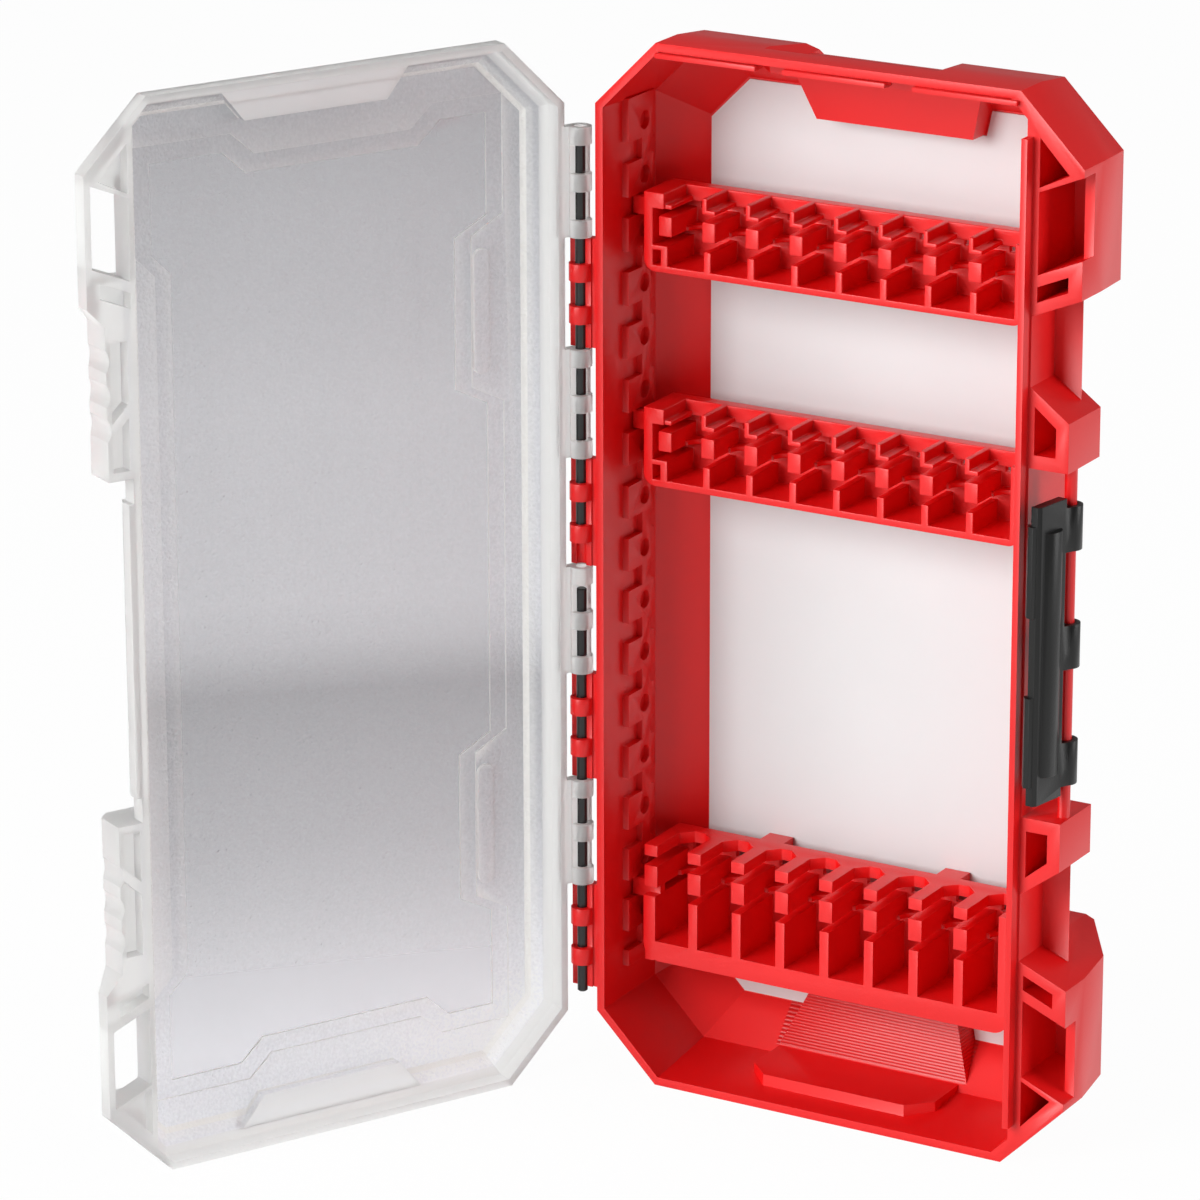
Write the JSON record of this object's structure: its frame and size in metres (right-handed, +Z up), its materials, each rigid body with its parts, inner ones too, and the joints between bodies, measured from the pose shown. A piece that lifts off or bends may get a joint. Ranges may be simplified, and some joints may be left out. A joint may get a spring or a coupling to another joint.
{
  "type": "accessory case",
  "caption": "Hinged driver bit case with a clear lid, an over-centre side latch and comb racks that slot into rails inside a moulded tray.",
  "frame": {"origin": "middle of the tray's width and of its rim band, on the floor that the case stands on", "axes": "+Z up along the case's length, -Y out of the open tray, +X from the hinge towards the latch"},
  "size_m": [0.194, 0.1496, 0.256],
  "materials": {
    "red_plastic": "satin",
    "clear_plastic": "frosted",
    "black_plastic": "satin",
    "black_steel": "satin",
    "white_card": "matt"
  },
  "bodies": {
    "tray": {"tray": "red_plastic", "hinge_pin_upper": "black_steel", "hinge_pin_lower": "black_steel", "insert_card": "white_card"},
    "lid": {"lid": "clear_plastic"},
    "latch": {"latch": "black_plastic"},
    "rack_upper": {"rack_upper": "red_plastic"},
    "rack_middle": {"rack_middle": "red_plastic"},
    "rack_lower": {"rack_lower": "red_plastic"}
  },
  "joints": [
    {"name": "lid_hinge", "type": "hinge", "parent": "tray", "child": "lid", "pos_m": [-0.0664, -0.0025, 0.128], "axis": [0, 0, -1], "range_deg": [-117, 63]},
    {"name": "latch_hinge", "type": "hinge", "parent": "tray", "child": "latch", "pos_m": [0.0582, 0.0029, 0.128], "axis": [0, 0, 1], "range_deg": [-12, 110]},
    {"name": "rack_upper_slide", "type": "slide", "parent": "tray", "child": "rack_upper", "axis": [0, -1, 0], "range_m": [0, 0.035]},
    {"name": "rack_middle_slide", "type": "slide", "parent": "tray", "child": "rack_middle", "axis": [0, -1, 0], "range_m": [0, 0.035]},
    {"name": "rack_lower_slide", "type": "slide", "parent": "tray", "child": "rack_lower", "axis": [0, -1, 0], "range_m": [0, 0.035]}
  ]
}
